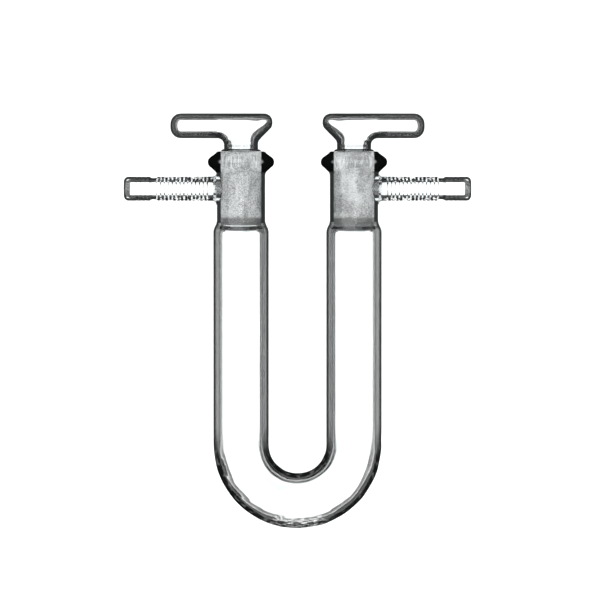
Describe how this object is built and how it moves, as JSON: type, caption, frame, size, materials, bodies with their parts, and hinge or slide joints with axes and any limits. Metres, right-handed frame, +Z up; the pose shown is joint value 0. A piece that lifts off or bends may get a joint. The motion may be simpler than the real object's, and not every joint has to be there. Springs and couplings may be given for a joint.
{
  "type": "u-shaped drying tube",
  "caption": "U-shaped glass drying tube with ribbed side arms and hollow ground stoppers that turn to open and shut the arms.",
  "frame": {"origin": "under the middle of the object's box, on the surface it lies on", "axes": "+Z up, +Y along the limbs from the bend towards the stoppers, +X from the left limb to the right one; the tube lies on its back, tilted by 0.94 degrees because its beads are wider than its bend"},
  "size_m": [0.1254, 0.15, 0.024],
  "materials": {
    "clear_glass": "clear, fire-polished",
    "stopper_glass": "clear, with a finely ground cone"
  },
  "bodies": {
    "tube": {"u_tube": "clear_glass"},
    "left_tap": {"stopper_left": "stopper_glass"},
    "right_tap": {"stopper_right": "stopper_glass"}
  },
  "joints": [
    {"name": "left_stopper_turn", "type": "hinge", "parent": "tube", "child": "left_tap", "pos_m": [-0.0204, 0.06119, 0.01206], "axis": [0, 0.9999, 0.0163], "range_deg": [0, 120]},
    {"name": "right_stopper_turn", "type": "hinge", "parent": "tube", "child": "right_tap", "pos_m": [0.0204, 0.06119, 0.01206], "axis": [0, -0.9999, -0.0163], "range_deg": [0, 120]}
  ]
}
